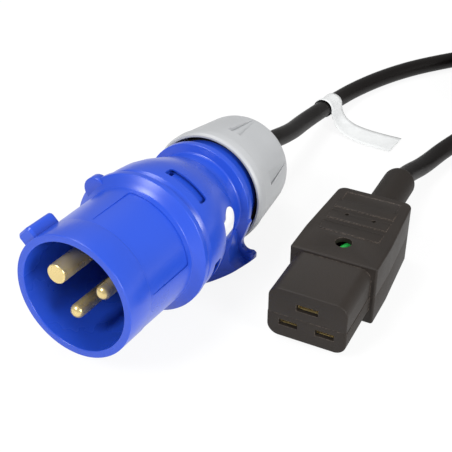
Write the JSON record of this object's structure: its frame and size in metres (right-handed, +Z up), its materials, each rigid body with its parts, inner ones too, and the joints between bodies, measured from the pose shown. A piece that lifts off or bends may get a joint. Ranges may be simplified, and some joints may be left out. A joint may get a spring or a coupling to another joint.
{
  "type": "c19 power connector cord",
  "caption": "Rewirable rectangular C19 cord connector on a dark round cord that ends in a round blue industrial plug with a grey gland nut.",
  "frame": {"origin": "bottom centre of the C19 connector, from its nose to the end of its boot, on the surface it lies on", "axes": "+Z up, the C19 nose faces -Y and its cord leaves along +Y, +X to the right seen from behind the connector"},
  "size_m": [0.1885, 0.3278, 0.0522],
  "materials": {
    "dark_plastic": "fine spark-textured moulded plastic, brownish charcoal",
    "brass": "bright turned and folded brass",
    "steel": "zinc plated steel",
    "dark_rubber": "matt flexible plastic, brownish charcoal",
    "cord_sheath": "matt cord sheath, brownish charcoal",
    "earth_core": "green and yellow core insulation",
    "line_core": "brown core insulation",
    "neutral_core": "blue core insulation",
    "blue_plastic": "softly glossy saturated blue plastic",
    "carrier_plastic": "dark insulating plastic",
    "grey_plastic": "light neutral grey plastic",
    "white_label": "white coated paper, bare",
    "tie_plastic": "black nylon strap"
  },
  "bodies": {
    "root": {"c19_upper_shell": "dark_plastic", "c19_lower_shell": "dark_plastic", "c19_earth_contact": "brass", "c19_line_contact": "brass", "c19_neutral_contact": "brass", "c19_terminal_screws": "steel", "c19_cable_clamp": "dark_plastic", "c19_clamp_screws": "steel", "c19_housing_screws": "steel", "c19_cord_boot": "dark_rubber", "c19_sheath_end": "cord_sheath", "c19_earth_wire": "earth_core", "c19_line_wire": "line_core", "c19_neutral_wire": "neutral_core", "plug_shroud": "blue_plastic", "plug_pin_carrier": "carrier_plastic", "plug_earth_pin": "brass", "plug_line_pin": "brass", "plug_neutral_pin": "brass", "plug_terminal_screws": "steel", "plug_rear_housing": "blue_plastic", "plug_clamp_cage": "grey_plastic", "plug_gland_seal": "dark_rubber", "plug_neck_ring": "dark_rubber", "plug_gland_nut": "grey_plastic", "plug_sheath_end": "cord_sheath", "plug_earth_wire": "earth_core", "plug_line_wire": "line_core", "plug_neutral_wire": "neutral_core", "plug_sticker": "white_label", "cord_coil": "cord_sheath", "coil_tie": "tie_plastic", "cord_to_plug": "cord_sheath", "cord_to_connector": "cord_sheath", "cord_label": "white_label"}
  },
  "joints": []
}
